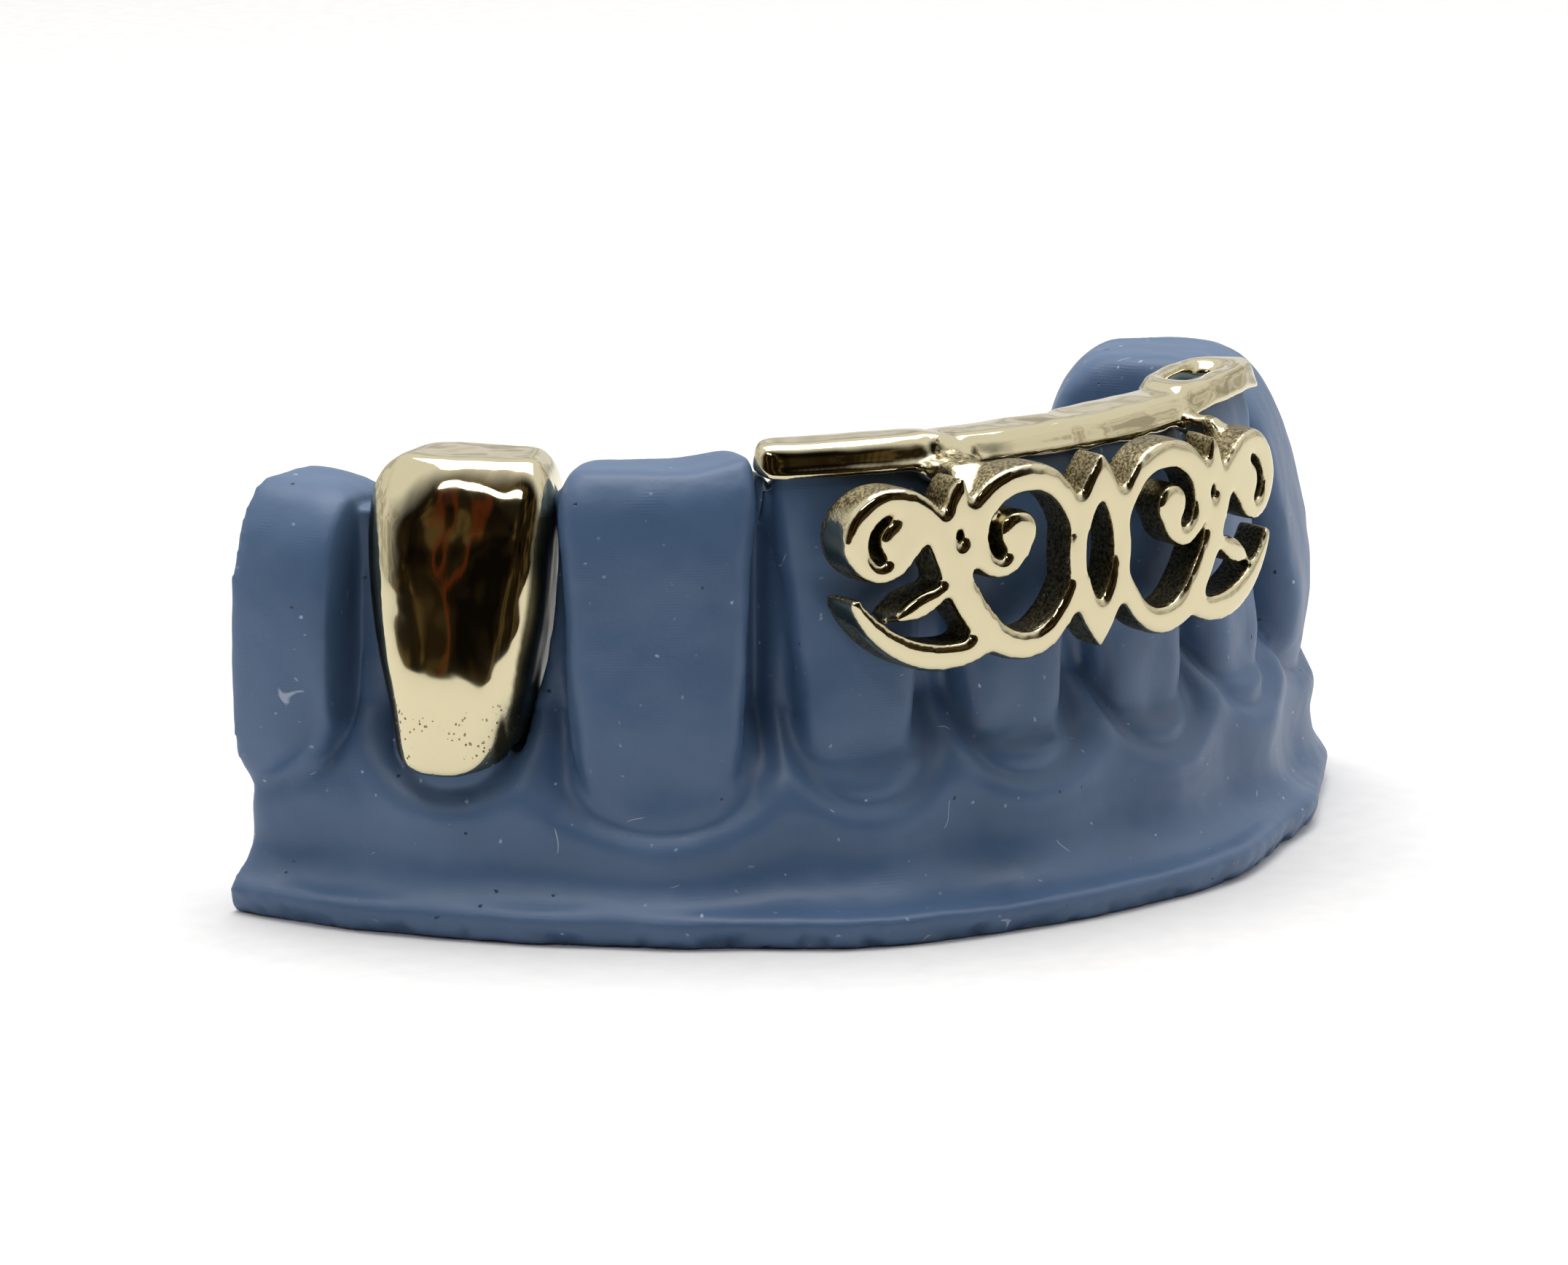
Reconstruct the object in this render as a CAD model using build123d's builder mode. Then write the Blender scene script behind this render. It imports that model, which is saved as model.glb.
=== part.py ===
from build123d import *
from math import cos, radians, sin
import os

# Arch of the lower teeth, seen from above: half an ellipse with its front at the midline
arch_half_width = 21.3
arch_depth = 21.2
contact_overlap = 0.3
canine_gap = 0.3

# Crowns, measured from the foot of the cast and across the arch
tooth_height = 15.75
gum_line_height = 5.0
papilla_height = 7.6
central_width = 5.8
lateral_width = 5.6
canine_width = 6.4
first_premolar_width = 5.2
second_premolar_width = 7.2
incisor_depth = 5.6
canine_depth = 7.2
first_premolar_depth = 6.2
second_premolar_depth = 7.4
left_canine_depth = 9.6
left_canine_setback = 2.2
outline_corner = 0.75
corner_limit = 0.2
side_belly = 0.25
tongue_taper = 0.76

# Gum and foot of the cast
flange_height = 1.15
flange_lip = 0.25
flange_reach = 6.2
gum_bulge_reach = 3.8
gum_bulge_height = 3.1
papilla_hollow = 0.45
collar_inset = 0.55
collar_drop = 0.1
crest_reach = 0.6
crest_width = 1.9
lingual_gum_height = 6.2
lingual_shoulder = 3.3
lingual_reach = 6.2
cut_right = 27.5
cut_left = 18.6
web_width = 2.8
cap_web_width = 3.8
web_depth = 1.2
web_middle = -0.3
web_drop = 0.8
trim = 1.0
station_step = 1.55

# Gold covers: wall, room for the tooth, and the clearance that keeps them off the cast
gold_wall = 0.42
tooth_room = 0.06
cast_room = 0.06
cap_gap = 0.8
cap_canine_gap = 0.55
cap_margin_height = 5.2
cap_side_height = 7.6
margin_overrun = 1.0
bar_drop = 0.5
window_width = 3.6
window_depth = 1.1
window_corner = 0.37
solder_bead_radius = 0.75

# Pierced plate in front of the incisors, and the two posts that it hangs from
plate_radius = 24.0
plate_stand_off = 4.5
plate_thickness = 1.5
plate_curve_depth = 4.5
plate_turn = -3.6
plate_middle_height = 12.1
plate_half_width = 9.6
plate_height = 6.7
stroke_width = 0.95
leaf_half_width = 1.35
leaf_rim = 0.76
leaf_opening_share = 0.52
post_place = 0.88
right_post_width = 1.4
left_post_width = 0.7
post_thickness = 0.85
bar_reach = 1.7
post_foot_depth = 0.9
post_foot_rise = 1.8

# Crown sections from the root up: height between gum line and biting edge, width, depth to the labial and to
# the lingual side, and lean towards the midline, each as a share of the tooth's own size
crown_sections = {
    "incisor": [
        # height, width, labial, lingual, lean
        (-0.35, 0.54, 0.36, 0.42, 0.00),
        (0.00, 0.60, 0.43, 0.46, 0.00),
        (0.35, 0.80, 0.42, 0.38, 0.00),
        (0.70, 0.95, 0.37, 0.22, 0.00),
        (0.92, 1.00, 0.31, 0.11, 0.00),
        (1.00, 0.94, 0.24, 0.03, 0.00),
    ],
    "canine": [
        (-0.35, 0.66, 0.34, 0.40, 0.00),
        (0.00, 0.80, 0.41, 0.43, 0.00),
        (0.35, 0.95, 0.43, 0.44, 0.00),
        (0.70, 1.00, 0.39, 0.38, 0.00),
        (0.92, 0.97, 0.31, 0.29, 0.01),
        (1.00, 0.80, 0.20, 0.17, 0.03),
    ],
    "stout": [
        (-0.35, 0.72, 0.36, 0.36, 0.00),
        (0.00, 0.84, 0.52, 0.38, 0.00),
        (0.35, 0.95, 0.54, 0.42, 0.00),
        (0.70, 1.00, 0.45, 0.42, 0.00),
        (0.92, 0.92, 0.32, 0.33, 0.00),
        (1.00, 0.68, 0.17, 0.20, 0.00),
    ],
    "prepared": [
        (-0.35, 0.50, 0.34, 0.38, 0.05),
        (0.00, 0.60, 0.43, 0.42, 0.06),
        (0.30, 0.77, 0.46, 0.45, 0.06),
        (0.55, 0.95, 0.44, 0.45, 0.05),
        (0.78, 1.05, 0.37, 0.43, 0.04),
        (0.92, 1.03, 0.28, 0.34, 0.05),
        (1.00, 0.66, 0.13, 0.18, 0.09),
    ],
    "premolar": [
        (-0.40, 0.58, 0.22, 0.28, 0.00),
        (-0.12, 0.70, 0.30, 0.36, 0.00),
        (0.10, 0.88, 0.41, 0.43, 0.00),
        (0.40, 0.97, 0.44, 0.45, 0.00),
        (0.72, 1.00, 0.41, 0.43, 0.00),
        (0.92, 0.90, 0.30, 0.33, 0.00),
        (1.00, 0.60, 0.14, 0.16, 0.00),
    ],
}

# Teeth of each side from the midline outwards: kind, width, depth, top as a share of tooth_height, gum line
# as a share of gum_line_height, drop of the gold bar as a share of bar_drop, setback towards the tongue, and the
# gap to the tooth before it
close = -contact_overlap
right_teeth = {
    # kind, width, depth, top, gum, drop, setback, gap
    "central": ("incisor", central_width, incisor_depth, 0.985, 1.06, 0.90, 0.0, close),
    "lateral": ("incisor", lateral_width, incisor_depth, 0.995, 1.00, 1.08, 0.0, close),
    "canine": ("canine", canine_width, canine_depth, 0.975, 0.85, 0.0, 0.0, canine_gap),
    "first_premolar": (
        "prepared", first_premolar_width, first_premolar_depth, 0.965, 1.00, 0.0, 0.0, cap_canine_gap,
    ),
    "second_premolar": (
        "premolar", second_premolar_width, second_premolar_depth, 0.92, 0.95, 0.0, 0.0, cap_gap,
    ),
}
left_teeth = {
    # kind, width, depth, top, gum, drop, setback, gap
    "central": ("incisor", central_width, incisor_depth, 0.985, 1.03, 1.05, 0.0, close),
    "lateral": ("incisor", lateral_width, incisor_depth, 1.000, 1.08, 0.95, 0.0, close),
    "canine": ("stout", canine_width, left_canine_depth, 1.000, 1.05, 0.0, left_canine_setback, canine_gap),
}

# Outline of the gum: place along it as a share of the cut on that side, reach of the foot as a share of
# flange_reach, reach of the gum above it as a share of gum_bulge_reach, and how much further it runs to the
# tongue side as a share of lingual_shoulder
gum_outline = [
    # along, foot, gum, tongue
    (-1.10, 0.56, 0.60, 0.0),
    (-0.80, 0.66, 0.80, 0.0),
    (-0.60, 0.74, 0.94, 0.0),
    (-0.47, 0.84, 1.00, 0.0),
    (-0.30, 1.00, 1.00, 0.0),
    (0.10, 0.98, 0.97, 0.0),
    (0.45, 0.79, 0.93, 0.1),
    (0.75, 0.64, 0.87, 0.6),
    (1.10, 0.57, 0.80, 0.7),
]

with BuildLine() as arch:
    EllipticalCenterArc((0, arch_depth), arch_half_width, arch_depth, start_angle=180, arc_size=180)
arch_edge = arch.edges()[0]
half_arch = arch_edge.length / 2


def arch_point(along):
    """Point on the arch, and its direction, this far along from the midline."""
    place = half_arch + along
    point = arch_edge.position_at(place, position_mode=PositionMode.LENGTH)
    return point, arch_edge.tangent_at(place, position_mode=PositionMode.LENGTH)


def level_plane(along, height, setback=0.0):
    """Level plane with X along the arch and Y towards the tongue."""
    point, direction = arch_point(along)
    inwards = Vector(0, 0, 1).cross(direction)
    origin = point + inwards * setback
    return Plane(origin=(origin.X, origin.Y, height), x_dir=direction, z_dir=(0, 0, 1))


def radial_plane(along):
    """Upright plane across the arch, with X outwards and Y up."""
    point, direction = arch_point(along)
    outwards = direction.cross(Vector(0, 0, 1))
    return Plane(origin=point, x_dir=outwards, z_dir=-direction)


class Tooth:
    def __init__(self, row, side, before):
        self.kind, self.width, self.depth, top, gum, drop, self.setback, gap = row
        self.along = side * (before + gap + self.width / 2)
        self.to_midline = -side
        self.top = top * tooth_height
        self.gum = gum * gum_line_height
        self.drop = drop * bar_drop


def stand_in_row(teeth, side):
    """Place the teeth of one side, each beside the one before it."""
    placed = {}
    before = contact_overlap / 2
    for name, row in teeth.items():
        tooth = Tooth(row, side, before)
        before = abs(tooth.along) + tooth.width / 2
        placed[name] = tooth
    return placed


right = stand_in_row(right_teeth, -1)
left = stand_in_row(left_teeth, 1)
incisors = [right["lateral"], right["central"], left["central"], left["lateral"]]
capped = right["first_premolar"]
windowed = left["lateral"]
whole_row = list(right.values())[::-1] + list(left.values())


def crown_outline(width, labial, lingual, grow):
    """Four shallow arcs round a tooth, narrower towards the tongue, with rounded corners."""
    front_half = width / 2 + grow
    back_half = tongue_taper * width / 2 + grow
    front = -labial - grow + side_belly
    back = lingual + grow - side_belly
    side_half = (front_half + back_half + side_belly) / 2
    middle = (front + back) / 2
    corner = min(outline_corner + grow, corner_limit * (labial + lingual + 2 * grow))
    with BuildSketch() as outline:
        with BuildLine():
            ThreePointArc((-front_half, front), (0, front - side_belly), (front_half, front))
            ThreePointArc((front_half, front), (side_half, middle), (back_half, back))
            ThreePointArc((back_half, back), (0, back + side_belly), (-back_half, back))
            ThreePointArc((-back_half, back), (-side_half, middle), (-front_half, front))
        make_face()
        fillet(outline.vertices(), corner)
    return outline.sketch


def crown(tooth, grow=0.0):
    """A whole tooth with its root, or one grown by the same amount all round."""
    height = tooth.top - tooth.gum
    with BuildPart() as body:
        for level, width, labial, lingual, lean in crown_sections[tooth.kind]:
            lift = grow if level == 1.0 else 0.0
            plane = level_plane(tooth.along, tooth.gum + level * height + lift, tooth.setback)
            outline = crown_outline(width * tooth.width, labial * tooth.depth, lingual * tooth.depth, grow)
            with BuildSketch(plane):
                with Locations((lean * tooth.width * tooth.to_midline, 0)):
                    add(outline)
        loft()
    return body.part


def blend_along(marks, along):
    """Values between the two marks on either side of a place, joined without corners."""
    before = max(mark for mark in marks if mark[0] <= along)
    after = min(mark for mark in marks if mark[0] > along)
    share = (along - before[0]) / (after[0] - before[0])
    blend = 0.5 - 0.5 * cos(radians(180 * share))
    return [first + (second - first) * blend for first, second in zip(before[1:], after[1:])]


def contact_place(tooth, neighbour):
    """Where along the arch two teeth meet."""
    return (tooth.along + tooth.width / 2 + neighbour.along - neighbour.width / 2) / 2


def web(tooth, neighbour):
    """The resin that closes the gap between two teeth, set back from their faces."""
    width = cap_web_width if capped in (tooth, neighbour) else web_width
    height = min(tooth.top, neighbour.top) - web_drop - flange_height
    with BuildPart() as wall:
        with BuildSketch(level_plane(contact_place(tooth, neighbour), flange_height)):
            with Locations((0, web_middle)):
                Rectangle(width, web_depth)
        extrude(amount=height)
    return wall.part


def gum_stations():
    """Evenly spaced places along the gum: where, how far between two teeth (0 to 1), and the gum line."""
    marks = [(tooth.along, 0.0, tooth.gum) for tooth in whole_row]
    for tooth, neighbour in zip(whole_row, whole_row[1:]):
        marks.append((contact_place(tooth, neighbour), 1.0, (tooth.gum + neighbour.gum) / 2))
    for tooth, side in ((whole_row[0], -1), (whole_row[-1], 1)):
        marks.append((tooth.along + side * tooth.width / 2, 1.0, tooth.gum))
        marks.append((tooth.along + side * tooth.width, 0.0, tooth.gum))
    marks.sort()
    first = -cut_right - trim
    count = round((cut_left - first) / station_step)
    places = [first + (cut_left - first) * step / count for step in range(count + 1)]
    return [(along, *blend_along(marks, along)) for along in places]


def gum_reach(along):
    """How far the foot, the gum above it and its tongue side stand out at this place."""
    marks = [(share * (cut_left if share > 0 else cut_right), *reach) for share, *reach in gum_outline]
    foot, gum, tongue = blend_along(marks, along)
    return flange_reach * foot, gum_bulge_reach * gum, lingual_shoulder * tongue


def gum_profile(between, gum_line, foot, bulge, tongue):
    """Cut through the gum: foot, groove, bulge, collar, slope to the crest, and the tongue side."""
    crest = gum_line + (papilla_height - gum_line) * (1 + between) / 2
    swell = (bulge - papilla_hollow * between, gum_bulge_height)
    rim = (foot - flange_lip, flange_height)
    groove = ((3 * swell[0] + foot) / 4, (3 * flange_height + gum_bulge_height) / 4)
    collar = (swell[0] - collar_inset, gum_line - collar_drop + collar_inset * between)
    flank = (swell[0] - collar_drop / 2, (swell[1] + collar[1]) / 2)
    shoulder = (-lingual_shoulder - tongue, lingual_gum_height)
    with BuildSketch() as profile:
        with BuildLine():
            Line((-lingual_reach - tongue, -trim), (foot - flange_lip, -trim))
            Line((foot - flange_lip, -trim), (foot - flange_lip, 0))
            ThreePointArc((foot - flange_lip, 0), (foot, flange_height / 2), rim)
            ThreePointArc(rim, groove, swell)
            ThreePointArc(swell, flank, collar)
            Line(collar, (crest_reach, crest))
            ThreePointArc((crest_reach, crest), (crest_reach - crest_width, crest), shoulder)
            Line(shoulder, (-lingual_reach - tongue, 0))
            Line((-lingual_reach - tongue, 0), (-lingual_reach - tongue, -trim))
        make_face()
    return profile.sketch


def scallop(tooth, low, high, room=0.0):
    """What lies below a cover's lower margin: low at mid tooth, rising between the teeth."""
    point, direction = arch_point(tooth.along)
    outwards = direction.cross(Vector(0, 0, 1))
    half = tooth.width / 2 + margin_overrun
    with BuildPart() as below:
        with BuildSketch(Plane(origin=point, x_dir=direction, z_dir=outwards)):
            with BuildLine():
                Polyline((-half, high - room), (-half, -1.0), (half, -1.0), (half, high - room))
                ThreePointArc((half, high - room), (0, low - room), (-half, high - room))
            make_face()
        extrude(amount=tooth.depth, both=True)
    return below.part


def gold_shell(tooth, grow):
    """The top of a grown tooth, down to the lower edge of the bar."""
    whole = crown(tooth, grow)
    room = grow - tooth_room - gold_wall
    with BuildPart() as shell:
        add(whole)
        split(bisect_by=Plane.XY.offset(tooth.top - tooth.drop - room), keep=Keep.TOP)
    return shell.part


# The cast: gum and foot are one body, lofted round the arch
with BuildPart() as gum:
    for along, between, gum_line in gum_stations():
        profile = gum_profile(between, gum_line, *gum_reach(along))
        with BuildSketch(radial_plane(along)):
            add(profile)
    loft()

bare_teeth = [crown(right["canine"]), crown(right["second_premolar"]), crown(left["canine"])]
webs = [web(tooth, neighbour) for tooth, neighbour in zip(whole_row, whole_row[1:])]
covered_teeth = [crown(tooth) for tooth in incisors] + [crown(capped)]
covered = tooth_room + gold_wall + cast_room
bar_seats = [gold_shell(tooth, covered) for tooth in incisors]
cap_block = crown(capped, covered)
cap_foot = scallop(capped, cap_margin_height, cap_side_height, cast_room)

with BuildPart() as cap_seat:
    add(cap_block)
    add(cap_foot, mode=Mode.SUBTRACT)

with BuildPart() as dental_cast:
    add(gum.part)
    for solid in bare_teeth + webs:
        add(solid)
    for seat in bar_seats + [cap_seat.part]:
        add(seat, mode=Mode.SUBTRACT)
    for tooth in covered_teeth:
        add(tooth)
    split(bisect_by=radial_plane(-cut_right), keep=Keep.BOTTOM)
    split(bisect_by=Plane.XY, keep=Keep.TOP)

# The single cap: a thin shell over the first premolar, with a margin that follows the gum
cap_outside = crown(capped, tooth_room + gold_wall)
cap_inside = crown(capped, tooth_room)
cap_margin = scallop(capped, cap_margin_height, cap_side_height)

with BuildPart() as tooth_cap:
    add(cap_outside)
    add(cap_inside, mode=Mode.SUBTRACT)
    add(cap_margin, mode=Mode.SUBTRACT)

# The pierced plate: a flourish of curling stems and small leaves, the same on both sides of a pointed leaf
# Places and leaves are shares: across and length of plate_half_width, up of half of plate_height, and every
# width of stroke_width
inner_curl = [
    # across, up, width
    (0.100, 0.28, 0.70),
    (0.150, 0.58, 0.85),
    (0.235, 0.80, 1.00),
    (0.345, 0.84, 1.05),
    (0.450, 0.72, 1.05),
    (0.515, 0.44, 1.00),
    (0.500, 0.13, 0.85),
    (0.420, -0.04, 0.75),
    (0.345, 0.10, 0.70),
    (0.350, 0.32, 0.60),
]
outer_curl = [
    # across, up, width
    (0.100, -0.28, 0.70),
    (0.165, -0.60, 0.85),
    (0.270, -0.83, 1.00),
    (0.390, -0.80, 1.10),
    (0.500, -0.52, 1.15),
    (0.580, -0.12, 1.10),
    (0.640, 0.30, 1.00),
    (0.720, 0.64, 0.95),
    (0.820, 0.74, 0.95),
    (0.915, 0.56, 0.90),
    (0.935, 0.22, 0.80),
    (0.860, 0.01, 0.70),
    (0.780, 0.14, 0.65),
    (0.785, 0.34, 0.55),
]
low_frond = [
    # across, up, width
    (0.430, -0.66, 0.80),
    (0.545, -0.84, 0.95),
    (0.670, -0.86, 1.05),
    (0.790, -0.74, 0.95),
    (0.890, -0.50, 0.70),
    (0.950, -0.22, 0.35),
]
stem_ends = [(inner_curl, 1.55), (outer_curl, 1.60)]
small_leaves = [
    # across, up, length, width, turn in degrees
    (0.710, -0.32, 0.240, 0.85, 62),
    (0.585, 0.66, 0.200, 0.80, 8),
]


def stem(points):
    """A band that follows its middle line, as wide at each point as the table says."""
    places = [(across * plate_half_width, up * plate_height / 2) for across, up, width in points]
    with BuildLine() as middle_line:
        Spline(*places)
    line = middle_line.edges()[0]
    outer = []
    inner = []
    for place, (across, up, width) in zip(places, points):
        direction = line.tangent_at(line.param_at_point(Vector(*place)))
        sideways = Vector(-direction.Y, direction.X) * width * stroke_width / 2
        outer.append(Vector(*place) + sideways)
        inner.append(Vector(*place) - sideways)
    with BuildSketch() as band:
        with BuildLine():
            Spline(*outer)
            Line(outer[-1], inner[-1])
            Spline(*inner)
            Line(inner[0], outer[0])
        make_face()
    return band.sketch


def pointed_leaf(half_width, half_height):
    """Two arcs that meet in a point above and below."""
    with BuildSketch() as leaf:
        with BuildLine():
            ThreePointArc((0, -half_height), (half_width, 0), (0, half_height))
            ThreePointArc((0, half_height), (-half_width, 0), (0, -half_height))
        make_face()
    return leaf.sketch


stems = [stem(points) for points in (inner_curl, outer_curl, low_frond)]
leaf = pointed_leaf(leaf_half_width, plate_height / 2)
leaf_opening = pointed_leaf(leaf_half_width - leaf_rim, leaf_opening_share * plate_height / 2)

with BuildSketch() as half_pattern:
    for band in stems:
        add(band)
    for points, ball_width in stem_ends:
        across, up, width = points[-1]
        with Locations((across * plate_half_width, up * plate_height / 2)):
            Circle(ball_width * stroke_width / 2)
    for across, up, length, width, turn in small_leaves:
        with Locations(Location((across * plate_half_width, up * plate_height / 2, 0), turn)):
            add(pointed_leaf(width * stroke_width / 2, length * plate_half_width / 2))

with BuildSketch() as pattern:
    add(half_pattern.sketch)
    mirror(about=Plane.YZ)
    add(leaf)
    add(leaf_opening, mode=Mode.SUBTRACT)

plate_axis = plate_radius - plate_stand_off
plate_outwards = Vector(sin(radians(plate_turn)), -cos(radians(plate_turn)), 0)
plate_origin = Vector(0, plate_axis, plate_middle_height) + plate_outwards * plate_radius
plate_plane = Plane(origin=plate_origin, x_dir=Vector(0, 0, 1).cross(plate_outwards), z_dir=plate_outwards)

with BuildPart() as plate:
    with BuildSketch(plate_plane):
        add(pattern.sketch)
    extrude(amount=-plate_curve_depth)
    with BuildSketch(Plane.XY):
        with Locations((0, plate_axis)):
            Circle(plate_radius)
            Circle(plate_radius - plate_thickness, mode=Mode.SUBTRACT)
    extrude(amount=2 * tooth_height, mode=Mode.INTERSECT)

# The bar: four shallow caps run together, with an open window in the top of the last one
bar_outsides = [gold_shell(tooth, tooth_room + gold_wall) for tooth in incisors]
bar_insides = [crown(tooth, tooth_room) for tooth in incisors]
joint_height = (incisors[0].top + incisors[1].top) / 2 - bar_drop / 2


def post(side, width):
    """A bent strip that reaches down and out from the bar to the plate."""
    start = (bar_reach, joint_height)
    end = (plate_stand_off - post_foot_depth, plate_middle_height + post_foot_rise)
    middle = ((start[0] + 2 * end[0]) / 3, (2 * start[1] + end[1]) / 3)
    with BuildPart() as strip:
        with BuildSketch(radial_plane(side * post_place * central_width)):
            SlotArc(Edge.make_three_point_arc(start, middle, end), post_thickness)
        extrude(amount=width / 2, both=True)
    return strip.part


right_post = post(-1, right_post_width)
left_post = post(1, left_post_width)

with BuildPart() as bar_grill:
    for outside in bar_outsides:
        add(outside)
    add(right_post)
    add(left_post)
    with Locations(radial_plane(-post_place * central_width) * Pos(bar_reach, joint_height, 0)):
        Sphere(solder_bead_radius)
    for inside in bar_insides:
        add(inside, mode=Mode.SUBTRACT)
    with BuildSketch(level_plane(windowed.along, windowed.top - tooth_room)):
        with Locations((0, -window_depth / 2)):
            RectangleRounded(window_width, window_depth, window_corner)
    extrude(amount=2 * gold_wall, mode=Mode.SUBTRACT)
    add(plate.part)

os.makedirs("parts", exist_ok=True)

# The origin lies under the middle of the foot
middle = dental_cast.part.bounding_box().center()
for piece in (dental_cast, tooth_cap, bar_grill):
    piece.part.move(Location((-middle.X, -middle.Y, 0)))

dental_cast.part.label = "dental_cast"
export_step(dental_cast.part, "parts/dental_cast.step")
tooth_cap.part.label = "tooth_cap"
export_step(tooth_cap.part, "parts/tooth_cap.step")
bar_grill.part.label = "bar_grill"
export_step(bar_grill.part, "parts/bar_grill.step")
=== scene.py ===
import bpy
from math import atan2, cos, exp, hypot, pi, radians, sin
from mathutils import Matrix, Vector, noise


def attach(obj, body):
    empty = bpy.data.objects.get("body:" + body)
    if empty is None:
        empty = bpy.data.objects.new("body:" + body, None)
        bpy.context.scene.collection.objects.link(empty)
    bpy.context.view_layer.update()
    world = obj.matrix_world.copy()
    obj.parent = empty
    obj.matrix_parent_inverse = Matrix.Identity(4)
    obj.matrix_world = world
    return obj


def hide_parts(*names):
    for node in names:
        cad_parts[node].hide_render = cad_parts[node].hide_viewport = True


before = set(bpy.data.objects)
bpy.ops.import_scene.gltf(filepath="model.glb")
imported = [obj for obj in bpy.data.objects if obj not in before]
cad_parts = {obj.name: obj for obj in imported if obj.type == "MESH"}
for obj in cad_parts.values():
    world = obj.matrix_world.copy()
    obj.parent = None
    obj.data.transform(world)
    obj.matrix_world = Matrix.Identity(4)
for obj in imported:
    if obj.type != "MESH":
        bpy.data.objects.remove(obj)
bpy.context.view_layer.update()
bpy.context.scene.view_settings.view_transform = "Standard"
MM = 0.001

# The table
# A wide sheet of white card. Polished gold mirrors it, so it runs on past the picture, but it ends in front
# of the object, where the gold mirrors the dim room behind the viewer.
bpy.ops.object.select_all(action="DESELECT")
bpy.ops.mesh.primitive_plane_add(size=1.0, location=(0, 0, -0.02 * MM))
table = bpy.context.object
table.name = "white_table"
table_turn = radians(-42.3)
table_width = 4.0
table_depth = 2.2
table_shift = 1.0
table.scale = (table_width, table_depth, 1.0)
table.location += Vector((-sin(table_turn), cos(table_turn), 0)) * table_shift
table.rotation_euler = (0, 0, table_turn)
bpy.ops.object.transform_apply(location=True, rotation=True, scale=True)


def linear(hex_colour):
    """An sRGB hex colour as the linear numbers that a shader takes."""
    parts = [int(hex_colour[place:place + 2], 16) / 255 for place in (0, 2, 4)]
    lights = [part / 12.92 if part <= 0.04045 else ((part + 0.055) / 1.055) ** 2.4 for part in parts]
    return (*lights, 1.0)


def add_node(tree, kind, settings=None, links=None, stops=()):
    """Add a node, set its properties, sockets and colour stops, and link outputs into it."""
    node = tree.nodes.new(kind)
    for name, value in (settings or {}).items():
        if isinstance(name, str) and hasattr(node, name):
            setattr(node, name, value)
        else:
            node.inputs[name].default_value = value
    for name, output in (links or {}).items():
        tree.links.new(output, node.inputs[name])
    for spare in range(len(stops) - 2):
        node.color_ramp.elements.new(0.5)
    for number, (position, colour) in enumerate(stops):
        node.color_ramp.elements[number].position = position
        node.color_ramp.elements[number].color = linear(colour)
    return node


def new_material(name):
    """A material with its node tree and its principled shader."""
    material = bpy.data.materials.new(name)
    material.use_nodes = True
    return material, material.node_tree, material.node_tree.nodes["Principled BSDF"]


card, tree, shader = new_material("matt_white_card")
spot = add_node(tree, "ShaderNodeTexCoord").outputs["Object"]
fibres = add_node(tree, "ShaderNodeTexNoise", {"Scale": 900.0, "Detail": 4.0}, {"Vector": spot})
paper = add_node(
    tree, "ShaderNodeValToRGB", links={"Fac": fibres.outputs["Fac"]},
    stops=((0.3, "eeeded"), (0.7, "f3f2f1")),
)
tree.links.new(paper.outputs["Color"], shader.inputs["Base Color"])
shader.inputs["Roughness"].default_value = 0.8
table.data.materials.append(card)

# The light
# A soft box overhead, one at the back right and a small window, in a room that is pale above and dim and
# cluttered on the viewer's side. The gold mirrors that side, which is what gives it its depth.
world = bpy.data.worlds.new("studio_room")
bpy.context.scene.world = world
world.use_nodes = True
tree = world.node_tree
background = tree.nodes["Background"]
heading = add_node(tree, "ShaderNodeTexCoord").outputs["Generated"]
climb = add_node(tree, "ShaderNodeSeparateXYZ", links={"Vector": heading}).outputs["Z"]
room = add_node(
    tree, "ShaderNodeValToRGB", links={"Fac": climb}, stops=((0.0, "dedbd6"), (0.6, "ffffff"))
)
facing = add_node(
    tree, "ShaderNodeVectorMath", {"operation": "DOT_PRODUCT", 1: (-0.66, -0.75, 0.0)}, {0: heading}
)
dark_share = add_node(
    tree, "ShaderNodeMapRange",
    {"interpolation_type": "SMOOTHSTEP", "From Min": 0.16, "From Max": 0.54},
    {"Value": facing.outputs["Value"]},
)
clutter = add_node(tree, "ShaderNodeTexNoise", {"Scale": 3.5, "Detail": 2.0}, {"Vector": heading})
shelves = add_node(
    tree, "ShaderNodeValToRGB", links={"Fac": clutter.outputs["Fac"]},
    stops=((0.44, "fdfcfa"), (0.50, "8f8672"), (0.56, "f6f4ef"), (0.62, "6f6756")),
)
eye_level = add_node(
    tree, "ShaderNodeMapRange",
    {"interpolation_type": "SMOOTHSTEP", "From Min": 0.62, "From Max": 0.40, "To Max": 0.5},
    {"Value": climb},
)
pale_room = add_node(
    tree, "ShaderNodeMix", {"data_type": "RGBA"},
    {0: eye_level.outputs["Result"], 6: room.outputs["Color"], 7: shelves.outputs["Color"]},
)
dark_room = add_node(
    tree, "ShaderNodeValToRGB", links={"Fac": clutter.outputs["Fac"]},
    stops=((0.35, "0e0b08"), (0.54, "2a2114"), (0.62, "5a4b2e"), (0.70, "1c1610")),
)
across = add_node(
    tree, "ShaderNodeVectorMath", {"operation": "DOT_PRODUCT", 1: (0.31, -0.95, 0.04)}, {0: heading}
)
apart = add_node(tree, "ShaderNodeMath", {"operation": "ABSOLUTE"}, {0: across.outputs["Value"]})
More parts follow.
